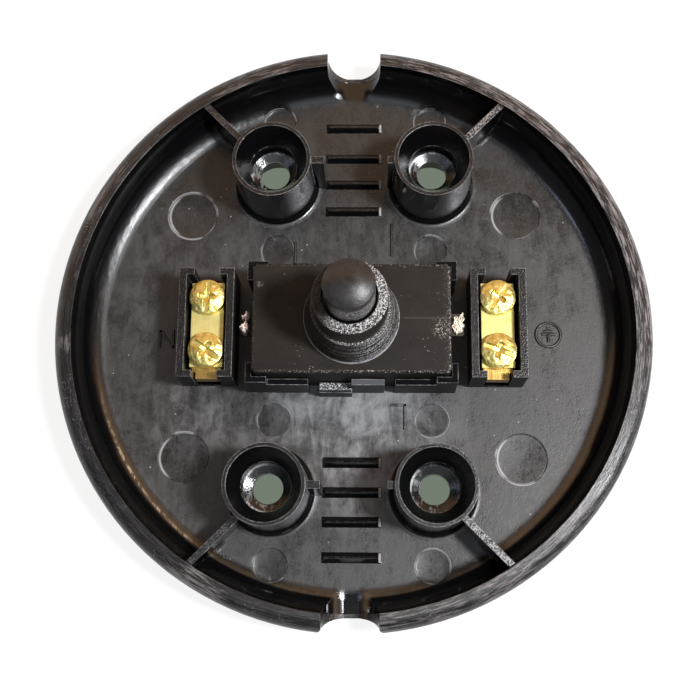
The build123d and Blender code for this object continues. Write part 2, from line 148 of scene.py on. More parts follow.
class Nodes:
    """A node tree being built: one method adds any node, the others name what is often added."""

    def __init__(self, tree):
        self.tree = tree
        tree.nodes.clear()

    def add(self, kind, settings=None, sockets=None, output=0):
        """A node of that type, its settings first, then the values or wires of its sockets.

        Gives one output's wire, by number or name, or all of them by name where output is None.
        """
        node = self.tree.nodes.new(kind)
        for key, value in (settings or {}).items():
            setattr(node, key, value)
        for key, value in (sockets or {}).items():
            if isinstance(value, Wire):
                self.tree.links.new(value.socket, node.inputs[key])
            else:
                node.inputs[key].default_value = value
        if output is None:
            return {out.name: Wire(self, out) for out in node.outputs}
        return Wire(self, node.outputs[output]) if node.outputs else None

    def place(self):
        """Object coordinates."""
        return self.add("ShaderNodeTexCoord", output=3)

    def axes(self, vector):
        """X, Y and Z of a vector."""
        return list(self.add("ShaderNodeSeparateXYZ", None, {0: vector}, output=None).values())

    def facing_up(self):
        """Z of the surface's normal."""
        return self.axes(self.add("ShaderNodeNewGeometry", output=1))[2]

    def edges(self, radius):
        """Mask of the strip of that width along sharp edges."""
        face = self.add("ShaderNodeNewGeometry", output=1)
        likeness = self.add("ShaderNodeVectorMath", {"operation": "DOT_PRODUCT"}, {
            0: self.eased_edges(radius), 1: face}, output=1)
        return 1 - likeness.above(0.86, 0.985)

    def stretched(self, vector, stretch, turn=0.0):
        """Coordinates multiplied axis by axis, then turned about Z."""
        return self.add("ShaderNodeMapping", None, {
            "Vector": vector, "Rotation": (0, 0, turn), "Scale": stretch})

    def noise(self, vector, size, detail=3.0, roughness=0.55, distortion=0.0):
        """Cloudy noise from 0 to 1 with features of about that size in metres."""
        return self.add("ShaderNodeTexNoise", None, {
            "Vector": vector, "Scale": 1 / size, "Detail": detail, "Roughness": roughness,
            "Distortion": distortion})

    def specks(self, vector, size, radius):
        """Small round spots, one to a cell of that size, as a mask; the radius is a share of the cell."""
        out = self.add("ShaderNodeTexVoronoi", None, {"Vector": vector, "Scale": 1 / size})
        return 1 - out.above(radius * 0.6, radius)

    def mix(self, factor, first, second):
        """Colour between two colours."""
        settings = {"data_type": "RGBA"}
        return self.add("ShaderNodeMix", settings, {0: factor, 6: first, 7: second}, output=2)

    def bump(self, height, depth, normal):
        """Normal after a height from 0 to 1 with that depth in metres is laid over another normal."""
        return self.add("ShaderNodeBump", None, {
            "Height": height, "Distance": depth, "Strength": 1.0, "Normal": normal})

    def eased_edges(self, radius):
        """Normal with the sharp edges rounded by that radius."""
        return self.add("ShaderNodeBevel", {"samples": 6}, {"Radius": radius})

    def surface(self, **sockets):
        """Principled surface on the material's output; the keywords are its sockets' names."""
        named = {}
        for key, value in sockets.items():
            named[key.replace("_", " ").title().replace("Ior", "IOR")] = value
        shader = self.add("ShaderNodeBsdfPrincipled", None, named)
        self.add("ShaderNodeOutputMaterial", None, {"Surface": shader})


def colour(red, green, blue):
    return red, green, blue, 1.0


def new_material(name):
    material = bpy.data.materials.new(name)
    material.use_nodes = True
    return material, Nodes(material.node_tree)


# Finishes

def distance(x, y, place=(0.0, 0.0)):
    """Distance in plan from a place."""
    across = x - place[0]
    along = y - place[1]
    return (across * across + along * along) ** 0.5


def boss_distance(x, y):
    """Distance in plan from the nearest boss's axis."""
    return distance(abs(x), abs(y), (BOSS_X, BOSS_Y))


def round_patch(x, y, place, inner, outer):
    """1 about a place in plan as far as inner, fading to 0 at outer."""
    return 1 - distance(x, y, place).above(inner, outer)


def painted(nodes, tone, layers):
    """Colour after layers of a mask and a colour, each over those before it."""
    for mask, paint in layers:
        tone = nodes.mix(mask, tone, paint)
    return tone


class TrayAreas:
    """Masks of the tray's areas, and the noises that its finish is made of."""

    def __init__(self, nodes):
        self.nodes = nodes
        self.spot = nodes.place()
        self.x, self.y, self.z = nodes.axes(self.spot)
        self.up = nodes.facing_up()
        self.flat = self.up.above(0.7, 0.98)
        self.sides = 1 - self.up.above(0.2, 0.5)
        self.height = self.z - FLOOR_TOP
        self.radius = distance(self.x, self.y)
        self.set_floor()
        self.set_bosses()
        self.set_tops()
        self.set_discs()
        self.set_noises()

    def set_floor(self):
        """Floor with the bottoms of its shallow discs, the cove's lower part and the rim."""
        low = 1 - self.height.above(0.15 * MM, 0.45 * MM)
        recess = 1 - self.height.above(-0.15 * MM, -0.05 * MM)
        inside = 1 - self.radius.above(COVE_FOOT_RADIUS - 0.4 * MM, COVE_FOOT_RADIUS + 1.0 * MM)
        disc_reach = 1 - self.radius.above(45 * MM, 45.5 * MM)
        self.floor = self.flat * low * inside.most(recess * disc_reach)
        self.back = self.y.above(16 * MM, 30 * MM)
        outside = self.radius.above(COVE_FOOT_RADIUS - 0.1 * MM, COVE_FOOT_RADIUS)
        self.cove = outside * self.height.above(-0.2 * MM, 0) * (1 - self.height.above(1.0 * MM, 2.2 * MM))
        self.left_cove = self.cove * (1 - (self.x - self.y * 0.6).above(-48 * MM, -30 * MM))
        rim_reach = self.radius.above(RIM_INNER_RADIUS - 0.1 * MM, RIM_INNER_RADIUS + 0.1 * MM)
        self.rim = rim_reach * self.up.above(0.05, 0.4)

    def set_bosses(self):
        """Place about the nearest boss's axis, and the outsides and insides of the bosses."""
        self.boss_out = boss_distance(self.x, self.y)
        self.boss_x = self.x.sign() * (abs(self.x) - BOSS_X)
        self.boss_y = self.y.sign() * (abs(self.y) - BOSS_Y)
        self.outside_bosses = self.boss_out.above(SOCKET_RADIUS - 0.1 * MM, SOCKET_RADIUS)
        self.inside_bosses = self.z.above(5 * MM, 5.5 * MM) * (1 - self.outside_bosses)

    def set_tops(self):
        """Cradle round the block, its latch and the step before it, and the other level tops."""
        along = 1 - abs(self.x).above(CRADLE_HALF_LENGTH - 0.1 * MM, CRADLE_HALF_LENGTH + 0.1 * MM)
        across = 1 - abs(self.y).above(CRADLE_HALF_WIDTH - 0.1 * MM, CRADLE_HALF_WIDTH + 0.1 * MM)
        self.cradle = along * across
        before = 1 - self.y.above(-BLOCK_HALF_WIDTH - 0.1 * MM, -BLOCK_HALF_WIDTH + 0.1 * MM)
        middle = 1 - abs(self.x).above(LATCH_HALF_LENGTH - 0.05 * MM, LATCH_HALF_LENGTH + 0.05 * MM)
        level = self.flat * before * middle * self.cradle
        self.latch_step = level * self.z.above(6.0 * MM, 6.2 * MM) * (1 - self.z.above(6.5 * MM, 6.7 * MM))
        self.latch = level * self.z.above(9.0 * MM, 9.3 * MM)
        raised = self.flat * self.z.above(5.5 * MM, 6.0 * MM) * self.outside_bosses
        self.tops = raised * (1 - self.cradle) * (1 - self.radius.above(46.5 * MM, 46.8 * MM))

    def set_discs(self):
        """Shallow discs in the floor: distance from the nearest one, in its radii, and their mask."""
        across = abs(self.x)
        along = abs(self.y)
        self.disc_out = distance(across, along, LARGE_DISC) / LARGE_DISC_RADIUS
        for row in SMALL_DISC_ROWS:
            small_out = distance(across, along, (SMALL_DISC_X, row)) / SMALL_DISC_RADIUS
            self.disc_out = self.disc_out.least(small_out)
        self.disc = 1 - self.disc_out.above(0.95, 1.0)

    def set_noises(self):
        """Clouds, scuffs and grain, from coarse to fine, and lines that run round the rim."""
        nodes = self.nodes
        spot = self.spot
        self.clouds = nodes.noise(spot, 12 * MM, 5.0, 0.62, 0.8)
        self.patches = nodes.noise(spot, 7 * MM, 3.0, 0.6)
        self.blots = nodes.noise(spot, 4.5 * MM, 6.0, 0.68, 0.7)
        self.smears = nodes.noise(nodes.stretched(spot, (1.0, 0.3, 1.0), 0.9), 1.8 * MM, 7.0, 0.72, 0.6)
        self.streaks = nodes.noise(nodes.stretched(spot, (1.0, 0.35, 1.0)), 0.8 * MM, 5.0, 0.7, 0.4)
        self.mottle = nodes.noise(spot, 0.7 * MM, 4.0, 0.7)
        self.grain = nodes.noise(spot, 0.26 * MM, 2.0, 0.6)
        bearing = self.x.math("ARCTAN2", self.x, self.y)
        ringwise = nodes.add("ShaderNodeCombineXYZ", None, {
            "X": self.radius, "Y": bearing * (4 * MM), "Z": self.z})
        self.rim_lines = nodes.noise(ringwise, 0.32 * MM, 4.0, 0.72)


def floor_layers(tray):
    """Grained satin floor with scuffs under a pale painted sheen, most of all in front of the block."""
    scuffed = (tray.clouds * 0.5 + tray.blots * 0.4 + tray.smears * 0.45).above(0.56, 0.82)
    # Painted sheen over the scuffs: strongest in front of the block and on the left, weaker at the back
    front = round_patch(tray.x, tray.y * 1.25, (-1 * MM, -21 * MM), 3 * MM, 24 * MM)
    left = round_patch(tray.x, tray.y, (-27 * MM, -15 * MM), 2 * MM, 10 * MM)
    scuffs_and_painted_sheen = front * (0.1 + 0.6 * scuffed) + left * scuffed * 0.3 + scuffed * 0.1 * (1 - tray.back * 0.7)
    return [
        (tray.floor, colour(0.017, 0.0158, 0.0149)),
        (tray.floor * scuffs_and_painted_sheen.least(1.0) * (1 - tray.disc * 0.6), colour(0.27, 0.272, 0.28)),
        (tray.floor * tray.grain.above(0.5, 0.74) * 0.3, colour(0.06, 0.058, 0.056)),
    ]


def rim_layers(tray):
    """Black rim with its lines painted pale as highlights where the light falls, and a dark line of
    painted shade on its land.
    """
    # Painted highlights: brighter towards the right, in patches and at two places in front, dimmed at one
    # place on the right
    lit = 0.1 + 0.9 * (tray.x + tray.y * 0.4).above(5 * MM, 44 * MM)
    lit = lit.most(tray.nodes.noise(tray.spot, 16 * MM).above(0.54, 0.62) * 0.55)
    lit = lit * (1 - 0.65 * round_patch(tray.x, tray.y, (44 * MM, -20 * MM), 4 * MM, 16 * MM))
    for place in (-25 * MM, 25 * MM):
        lit = lit.most(round_patch(tray.x, tray.y, (place, -43 * MM), 2 * MM, 9 * MM) - 0.2)
    grains = tray.grain.above(0.6, 0.68) * tray.patches.above(0.48, 0.6)
    # Painted shade: a dark line where the land steps down to the shoulder
    step_shade = tray.radius.near(RIM_LAND_RADIUS, 0.04 * MM, 0.16 * MM)
    return [
        (tray.rim, colour(0.004, 0.0038, 0.0041)),
        (tray.rim * tray.rim_lines.above(0.46, 0.6) * lit * 0.85, colour(0.22, 0.2, 0.2)),
        (tray.rim * grains * 0.5, colour(0.3, 0.29, 0.3)),
        (tray.rim * step_shade * 0.8, colour(0.002, 0.002, 0.002)),
    ]


def top_layers(tray):
    """Glints painted as pale grain flecks on wall and brace tops and the latch's step; the latch's right
    half is lighter.
    """
    braces = tray.tops * tray.boss_out.above(7.0 * MM, 7.2 * MM) * tray.radius.above(31 * MM, 32 * MM)
    # Painted glints, much stronger on the braces on the right, where the light falls
    braces = braces * (0.08 + 0.5 * tray.x.above(0, MM))
    return [
        (tray.tops * tray.grain.above(0.56, 0.7) * 0.25, colour(0.2, 0.19, 0.19)),
        (braces * tray.grain.above(0.46, 0.6), colour(0.42, 0.41, 0.41)),
        (tray.latch_step * tray.grain.above(0.45, 0.62), colour(0.4, 0.4, 0.41)),
        (tray.latch * tray.x.above(0, 0.1 * MM) * 0.9, colour(0.09, 0.09, 0.1)),
    ]


def cove_layers(tray):
    """Painted brown reflection low in the front cove, with a painted gold highlight line along its top on
    the left.
    """
    height = tray.height
    # Painted reflection of a brown surround, low in the cove and weaker towards the right
    glow = tray.cove * height.above(0, 0.6 * MM) * (1 - height.above(0.62 * MM, 0.9 * MM))
    glow = glow * (1 - tray.y.above(-22 * MM, 5 * MM)) * (1 - tray.x.above(2 * MM, 20 * MM) * 0.45)
    # Painted highlight: a gold line along the top of that reflection
    line = tray.cove * height.near(0.6 * MM, 0.05 * MM, 0.16 * MM)
    line = line * (1 - tray.y.above(-24 * MM, -8 * MM)) * (1 - tray.x.above(-34 * MM, -20 * MM))
    return [
        (glow * (0.1 + 1.2 * tray.streaks).least(1.0), colour(0.07, 0.05, 0.032)),
        (line * tray.streaks.above(0.42, 0.6) * 0.8, colour(0.4, 0.31, 0.21)),
    ]


def seat_layers(tray):
    """Painted highlights, broken up like wear, on the edges of the seats and webs in the bosses' sockets
    and on their level parts, most of all on the lit side.
    """
    seat_edge = tray.z.near(SEAT_TOP, 0.05 * MM, 0.14 * MM)
    web_edge = tray.z.near(WEB_TOP, 0.05 * MM, 0.16 * MM)
    lit = 1 - (tray.boss_x * 0.8 + tray.boss_y * 0.6).above(-2.4 * MM, 1.0 * MM)
    # Painted highlights, broken up by noise, stronger on the lit side
    wear = (tray.mottle * 0.5 + tray.patches * 0.5).above(0.44, 0.54) * (0.3 + 0.7 * lit)
    level = tray.inside_bosses * tray.flat
    return [
        (seat_edge.most(web_edge) * tray.inside_bosses * wear * 0.9, colour(0.5, 0.5, 0.5)),
        (level * lit * tray.streaks.above(0.5, 0.6) * 0.35, colour(0.4, 0.4, 0.39)),
    ]


def edge_layers(tray):
    """Painted highlights along the edges, broken up as by wear, strong on the tops and faint near the
    floor.
    """
    edges = tray.nodes.edges(0.2 * MM)
    high = edges * tray.z.above(5.5 * MM, 6.5 * MM) * (1 - tray.radius.above(44 * MM, 45 * MM) * 0.85)
    high = high * (0.3 + 0.7 * tray.mottle.above(0.42, 0.6)) * (0.5 + 0.5 * tray.patches.above(0.42, 0.55))
    low = edges * (1 - tray.z.above(4.0 * MM, 4.5 * MM)) * tray.mottle.above(0.45, 0.65)
    return [((high * 0.85 + low * 0.25).least(1.0), colour(0.52, 0.51, 0.52))]


def disc_layers(tray):
    """Painted highlights: broken bright edges of the floor's discs, glints inside them and a crescent on
    the left of each.
    """
    edge = tray.disc_out.near(1.0, 0.025, 0.06) * tray.patches.above(0.5, 0.58)
    glint = tray.disc * (tray.blots * 0.6 + tray.streaks * 0.4).above(0.56, 0.7)
    large = abs(tray.x).above(20 * MM, 20.1 * MM)
    side = tray.x.sign() * (abs(tray.x) - SMALL_DISC_X - large * (LARGE_DISC[0] - SMALL_DISC_X))
    crescent = tray.disc * tray.disc_out.above(0.86, 0.93) * (1 - side.above(-3.4 * MM, -1.8 * MM))
    # This mask is all painted highlight: edges, glints and crescents
    wear = tray.floor * (edge * 0.6 + glint * 0.4).most(crescent * 0.8).least(1.0)
    return [(wear, colour(0.36, 0.36, 0.37))]


def shine_layers(tray):
    """Painted highlights on the lit right ends of the cord ridges, a painted reflection down the bosses'
    sides, and dust on the floor.
    """
    ends = tray.height.above(0.1 * MM, 0.2 * MM) * (1 - tray.height.above(1.5 * MM, 1.7 * MM))
    ends = ends * tray.x.above(4.4 * MM, 4.6 * MM) * (1 - tray.x.above(5.0 * MM, 5.1 * MM))
    ends = ends * abs(tray.y).above(20 * MM, 21 * MM) * (1 - abs(tray.y).above(39 * MM, 39.5 * MM))
    # Painted reflection in a streak down one side of each boss
    shine = ((tray.boss_x * 0.75 - tray.boss_y * 0.66) / tray.boss_out).above(0.86, 0.98)
    shine = shine * tray.sides * tray.outside_bosses * (1 - tray.boss_out.above(7.2 * MM, 7.4 * MM))
    shine = shine * tray.z.above(5 * MM, 7 * MM) * (0.5 + 0.5 * tray.streaks.above(0.38, 0.6))
    dust = tray.nodes.specks(tray.spot, 2.1 * MM, 0.075)
    dust = dust * tray.nodes.noise(tray.spot, 8 * MM).above(0.46, 0.56)
    return [
        (ends, colour(0.4, 0.39, 0.38)),
        (shine, colour(0.14, 0.14, 0.155)),
        (dust * tray.floor * 0.8, colour(0.36, 0.35, 0.34)),
    ]


def tray_roughness(tray):
    """Glossy walls and bosses, uneven satin floor and rim, dull inner sides."""
    floor = 0.35 - tray.back * 0.12 - tray.disc * 0.08 + 0.5 * (tray.smears + tray.blots - 1.0)
    floor = floor + 0.35 * (tray.mottle + tray.grain - 1.0) + 0.3 * (tray.clouds - 0.5)
    inner_sides = tray.sides * (1 - tray.radius.above(31 * MM, 33 * MM))
    inner_sides = inner_sides * tray.boss_out.above(8.0 * MM, 8.4 * MM)
    rough = 0.09 + tray.floor * floor + (tray.tops + tray.latch_step) * 0.2 + tray.rim * 0.22
    rough = rough + tray.inside_bosses * tray.flat * 0.06 + inner_sides * 0.45
    return rough + tray.cove * 0.05 + tray.left_cove * (0.03 + 0.12 * tray.streaks)


def tray_relief(tray):
    """Eased edges, widest at the cove's foot, under the grain, lines and scuffs of each area."""
    cove_foot = tray.radius.near(COVE_FOOT_RADIUS, 1.3 * MM, 2.2 * MM)
    cove_foot = cove_foot * (1 - tray.height.above(0.8 * MM, 1.2 * MM))
    walls = (1 - tray.floor) * (0.2 + tray.cradle + tray.inside_bosses)
    heights = [
        (tray.grain * (tray.tops * 0.6 + tray.latch_step), 0.10 * MM),
        (tray.rim_lines * tray.rim, 0.08 * MM),
        (tray.smears * tray.floor * (1 - tray.disc), 0.025 * MM),
        ((tray.grain + tray.mottle) * tray.floor * (1 - tray.disc * 0.6), 0.024 * MM),
        (tray.streaks * tray.left_cove, 0.06 * MM),
        (tray.disc * tray.disc_out * tray.disc_out, 0.14 * MM),
        (tray.mottle * walls, 0.04 * MM),
    ]
    relief = tray.nodes.eased_edges(cove_foot * (1.3 * MM) + 0.16 * MM)
    for height, depth in heights:
        relief = tray.nodes.bump(height, depth, relief)
    return relief


def tray_finish():
    """Black moulded plastic: scuffed satin floor under a painted sheen, glossy cove and bosses, edges with
    painted highlights and a streaked rim.
    """
    material, nodes = new_material("tray_black_moulding")
    tray = TrayAreas(nodes)
    layers = floor_layers(tray) + rim_layers(tray) + top_layers(tray) + cove_layers(tray)
    layers += seat_layers(tray) + edge_layers(tray) + disc_layers(tray) + shine_layers(tray)
    tone = painted(nodes, colour(0.0026, 0.0026, 0.003), layers)
    nodes.surface(base_color=tone, roughness=tray_roughness(tray), normal=tray_relief(tray), ior=1.5)
    return material


class BlockAreas:
    """Masks of the switch block's areas, and the noises that its finish is made of."""

    def __init__(self, nodes):
        self.nodes = nodes
        self.spot = nodes.place()
        self.x, self.y, self.z = nodes.axes(self.spot)
        self.up = nodes.facing_up()
        self.collar = self.z.above(BLOCK_TOP + 0.05 * MM, BLOCK_TOP + 0.15 * MM)
        self.crown = self.z.above(COLLAR_TOP - 0.35 * MM, COLLAR_TOP - 0.25 * MM)
        self.cone = self.collar * (1 - self.z.above(COLLAR_STEP - 0.1 * MM, COLLAR_STEP))
        self.clouds = nodes.noise(self.spot, 5 * MM, 4.0, 0.6)
        self.coarse = nodes.noise(self.spot, 0.5 * MM, 3.0, 0.65)
        self.grain = nodes.noise(self.spot, 0.22 * MM, 2.0, 0.65)
        self.drawn = nodes.noise(nodes.stretched(self.spot, (0.06, 1.0, 1.0)), 0.3 * MM, 3.0, 0.6)
        self.rings = nodes.noise(nodes.stretched(self.spot, (0.02, 0.02, 1.0)), 0.34 * MM, 2.0, 0.6)


def collar_layers(block):
    """Painted glints on the collar's crown and step, painted highlights on the turned rings of its cone
    and a pale painted highlight line at its foot, strongest on the lit side.
    """
    foot = block.collar * (1 - block.z.above(BLOCK_TOP + 0.8 * MM, BLOCK_TOP + 1.1 * MM))
    step = block.collar * (1 - block.z.above(COLLAR_STEP + 0.1 * MM, COLLAR_STEP + 0.2 * MM))
    step = step * block.up.above(0.5, 0.9)
    lit_side = (block.x - 0.6 * block.y).above(-2.5 * MM, 1.5 * MM)
    right_side = (block.x - 0.3 * block.y).above(1.0 * MM, 6.0 * MM)
    painted_glints = (block.crown * (0.06 + 0.94 * lit_side) + step * (0.2 + 0.5 * lit_side)).least(1.0)
    # Painted highlights on the turned rings, mostly on the right, and along the foot
    turned = block.cone * block.rings.above(0.45, 0.57) * block.grain.above(0.45, 0.58)
    turned = turned * (0.04 + 0.1 * lit_side + 0.75 * right_side)
    turned = turned.most(foot * block.coarse.above(0.36, 0.5) * (0.5 + 0.5 * lit_side))
    return [
        (painted_glints * block.grain.above(0.45, 0.61), colour(0.5, 0.49, 0.49)),
        (turned, colour(0.52, 0.52, 0.54)),
    ]


def block_top_layers(block):
    """Pale specks, a painted glint and a scratch on the block's top, worn brinks with painted glints, and
    a small dimple drawn as a ring of painted shade.
    """
    x, y = block.x, block.y
    top = 1 - block.collar
    patch = round_patch(x, y, (14.6 * MM, -1.7 * MM), 0.6 * MM, 2.4 * MM)
    corner = round_patch(x, y, (-9.5 * MM, -7.6 * MM), 1 * MM, 5 * MM)
    end = x.above(14.6 * MM, 16.2 * MM)
    wear = block.nodes.noise(block.spot, 4 * MM).above(0.52, 0.66)
    wear = wear.most(patch).most(end * 0.8).most(corner * 0.7)
    specks = block.nodes.specks(block.spot, 0.5 * MM, 0.17) * wear
    specks = specks * block.nodes.noise(block.spot, 1.1 * MM).above(0.5, 0.6)
    specks = specks.most((patch * 0.9).most(end * 0.3) * block.grain.above(0.55, 0.64))
    # Painted glint: a small bright spot near the left end of the top
    glint_spot = round_patch(x, y, (-15.0 * MM, 5.6 * MM), 0.1 * MM, 0.8 * MM) * block.coarse.above(0.42, 0.62)
    scratch = y.near(-0.06 * MM, 0.03 * MM, 0.1 * MM) * x.above(8 * MM, 9 * MM)
    # Worn brinks with painted glints, brighter on the right and front where the light falls
    brink = abs(x).above(BLOCK_HALF_LENGTH - 0.55 * MM, BLOCK_HALF_LENGTH - 0.25 * MM)
    brink = brink.most(abs(y).above(BLOCK_HALF_WIDTH - 0.5 * MM, BLOCK_HALF_WIDTH - 0.25 * MM))
    brink = brink * block.z.above(12.9 * MM, 13.3 * MM) * (0.25 + 0.6 * (x - y).above(-8 * MM, 6 * MM))
    brink = brink * top * block.grain.above(0.5, 0.62) * block.coarse.above(0.42, 0.6)
    # Painted shade: a dark ring for a small dimple
    dimple = distance(x, y, (-13.4 * MM, 3.6 * MM)).near(0.4 * MM, 0.08 * MM, 0.16 * MM)
    return [
        (specks.most(glint_spot * 0.4).most(scratch * 0.1) * top, colour(0.4, 0.37, 0.34)),
        (brink, colour(0.42, 0.39, 0.37)),
        (dimple * top, colour(0.002, 0.002, 0.002)),
    ]


def block_finish():
    """Matt brown-black moulding of the switch block, with painted glints and highlights on its coarse
    collar, worn specks and a painted glint.
    """
    material, nodes = new_material("block_dark_moulding")
    block = BlockAreas(nodes)
    cloudy = (block.clouds * 0.7 + block.drawn * 0.3).above(0.35, 0.66)
    layers = [(cloudy, colour(0.0148, 0.0112, 0.0084))]
    layers += collar_layers(block) + block_top_layers(block)
    tone = painted(nodes, colour(0.0092, 0.0066, 0.0047), layers)
    relief = nodes.bump(block.grain, 0.015 * MM, nodes.eased_edges(0.14 * MM))
    relief = nodes.bump(block.grain * block.crown, 0.09 * MM, relief)
    relief = nodes.bump(block.rings * block.cone, 0.07 * MM, relief)
    rough = 0.5 + 0.12 * block.clouds - block.collar * 0.16
    nodes.surface(base_color=tone, roughness=rough, normal=relief, ior=1.5, specular_ior_level=0.2)
    return material


def button_finish():
    """Satin black button, uneven on its crown, with glints painted in the grain on the front of its skirt.
    """
    material, nodes = new_material("button_satin_black")
    spot = nodes.place()
    clouds = nodes.noise(spot, 1.6 * MM, 6.0, 0.7, 0.8)
    grain = nodes.noise(spot, 0.2 * MM, 2.0, 0.6)
    x, y, z = nodes.axes(spot)
    # Painted glints: a reflection of the collar's grain on the front of the skirt
    front = 1 - (y - x * 0.3).above(-3.2 * MM, -1.0 * MM)
    skirt = z.above(COLLAR_TOP, COLLAR_TOP + 0.2 * MM) * (1 - z.above(31.4 * MM, 32.6 * MM)) * front
    tone = painted(nodes, colour(0.0055, 0.0047, 0.0042), [
        (clouds.above(0.3, 0.7), colour(0.0165, 0.0145, 0.0132)),
        (skirt * grain.above(0.48, 0.62) * 0.8, colour(0.5, 0.49, 0.49)),
    ])
    relief = nodes.bump(grain, 0.02 * MM, nodes.eased_edges(0.15 * MM))
    relief = nodes.bump(clouds, 0.06 * MM, relief)
    nodes.surface(base_color=tone, roughness=0.24 + 0.24 * clouds, normal=relief, ior=1.5)
    return material


def metal_finish(name, light, dark, rough, stretch, depth, scale=0.3):
    """Bare metal with drawn or brushed lines along one axis and slight tarnish."""
    material, nodes = new_material(name)
    spot = nodes.place()
    lines = nodes.noise(nodes.stretched(spot, stretch), scale * MM, 4.0, 0.65)
    tarnish = nodes.noise(spot, 1.3 * MM, 5.0, 0.65, 0.6)
    tone = nodes.mix((tarnish * 0.7 + lines * 0.3).above(0.38, 0.66), light, dark)
    relief = nodes.bump(lines, depth, nodes.eased_edges(0.12 * MM))
    nodes.surface(base_color=tone, metallic=1.0, roughness=rough + 0.2 * tarnish, normal=relief)
    return material


def lug_finish(name, light, dark, plate):
    """Contact strip, dark where its lug is bare, with bright rough solder and wire ends on top."""
    material, nodes = new_material(name)
    spot = nodes.place()
    x, _, z = nodes.axes(spot)
    bare = abs(x).above(BLOCK_HALF_LENGTH - 0.05 * MM, BLOCK_HALF_LENGTH + 0.05 * MM)
    bare = bare * (1 - z.above(LUG_TOP + 0.02 * MM, LUG_TOP + 0.12 * MM))
    crumple = nodes.noise(spot, 0.45 * MM, 4.0, 0.65)
    tone = nodes.mix(crumple.above(0.36, 0.62), dark, light)
    tone = nodes.mix(bare, tone, plate)
    relief = nodes.bump(crumple, 0.06 * MM, nodes.eased_edges(0.1 * MM))
    nodes.surface(base_color=tone, metallic=0.55, roughness=0.4 + 0.2 * crumple, normal=relief)
    return material


def pale_finish(name, light, dark, rough):
    """Plain moulding of the inner pieces."""
    material, nodes = new_material(name)
    spot = nodes.place()
    clouds = nodes.noise(spot, 1.5 * MM, 4.0, 0.6)
    relief = nodes.bump(nodes.noise(spot, 0.2 * MM), 0.01 * MM, nodes.eased_edges(0.1 * MM))
    nodes.surface(base_color=nodes.mix(clouds, light, dark), roughness=rough + 0.1 * clouds, normal=relief)
    return material


# Stretch of a metal's lines: drawn along Y, or even
ALONG = (1.0, 0.04, 1.0)
EVEN = (1.0, 1.0, 1.0)
finishes = {
    "tray_plastic": tray_finish(),
    "switch_plastic": block_finish(),
    "button_plastic": button_finish(),
    "rotor_plastic": pale_finish("rotor_natural_moulding", colour(0.72, 0.7, 0.64),
                                 colour(0.6, 0.58, 0.52), 0.4),
    "terminal_brass": metal_finish("bar_drawn_brass", colour(0.72, 0.5, 0.17),
                                   colour(0.45, 0.27, 0.07), 0.25, ALONG, 0.03 * MM),
    "strip_brass": metal_finish("strip_brushed_brass", colour(0.68, 0.61, 0.26),
                                colour(0.6, 0.51, 0.19), 0.5, ALONG, 0.03 * MM),
    "screw_brass": metal_finish("screw_bright_brass", colour(0.8, 0.69, 0.26),
                                colour(0.54, 0.42, 0.11), 0.3, EVEN, 0.05 * MM, 0.9),
    "bridge_brass": metal_finish("bridge_stamped_brass", colour(0.76, 0.6, 0.34),
                                 colour(0.6, 0.44, 0.2), 0.3, ALONG, 0.02 * MM),
    "copper_contact": lug_finish("lug_copper", colour(0.95, 0.88, 0.85), colour(0.8, 0.64, 0.58),
                                 colour(0.03, 0.02, 0.015)),
    "tinned_contact": lug_finish("lug_tinned_brass", colour(0.93, 0.9, 0.83), colour(0.66, 0.56, 0.4),
                                 colour(0.03, 0.025, 0.015)),
    "contact_silver": metal_finish("rivet_silver", colour(0.85, 0.84, 0.82),
                                   colour(0.6, 0.59, 0.57), 0.25, EVEN, 0.02 * MM),
    "spring_steel": metal_finish("spring_drawn_wire", colour(0.62, 0.62, 0.64),
                                 colour(0.4, 0.4, 0.42), 0.3, EVEN, 0.01 * MM),
}

for part in frame["record"]["subparts"]:
    mesh = frame["nodes"][part["node"]].data
    mesh.materials.clear()
    mesh.materials.append(finishes[part["material_slot"]])


# Shaping with geometry trees

def shaping_tree(name, sizes):
    """Empty geometry tree with named sizes, and the wires of its inputs by name."""
    tree = bpy.data.node_groups.new(name, "GeometryNodeTree")
    tree.interface.new_socket("Start", in_out="INPUT", socket_type="NodeSocketGeometry")
    for size in sizes:
        tree.interface.new_socket(size, in_out="INPUT", socket_type="NodeSocketFloat")
    tree.interface.new_socket("Piece", in_out="OUTPUT", socket_type="NodeSocketGeometry")
    nodes = Nodes(tree)
    return nodes, nodes.add("NodeGroupInput", output=None)


def end_tree(nodes, shape, material):
    """Makes the shape real, gives it its finish and sends it out."""
    shape = nodes.add("GeometryNodeRealizeInstances", None, {"Geometry": shape})
    shape = nodes.add("GeometryNodeSetMaterial", None, {"Geometry": shape, "Material": material})
    nodes.add("NodeGroupOutput", None, {"Piece": shape})


def shaped(name, start, tree, sizes):
    """Plain mesh piece that a geometry tree makes from a starting mesh."""
    piece = bpy.data.objects.new(name, start)
    bpy.context.scene.collection.objects.link(piece)
    modifier = piece.modifiers.new("shape", "NODES")
    modifier.node_group = tree
    for item in tree.interface.items_tree:
        if item.name in sizes:
            modifier[item.identifier] = sizes[item.name]
    graph = bpy.context.evaluated_depsgraph_get()
    mesh = bpy.data.meshes.new_from_object(piece.evaluated_get(graph))
    piece.modifiers.remove(modifier)
    piece.data = mesh
    return piece


def place_piece(piece, body, slot, *nodes):
    """Ties a piece to its body and hides the nodes it stands for; the slot is not used."""
    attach(piece, body)
    if nodes:
        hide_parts(*nodes)


def edge_mesh(name, lines):
    """Mesh of bare edges, one run for each list of points."""
    points = []
    edges = []
    for line in lines:
        first = len(points)
        points += line
        edges += [(first + step, first + step + 1) for step in range(len(line) - 1)]
    mesh = bpy.data.meshes.new(name)
    mesh.from_pydata(points, edges, [])
    return mesh


# Raised wiring marks on the tray's floor

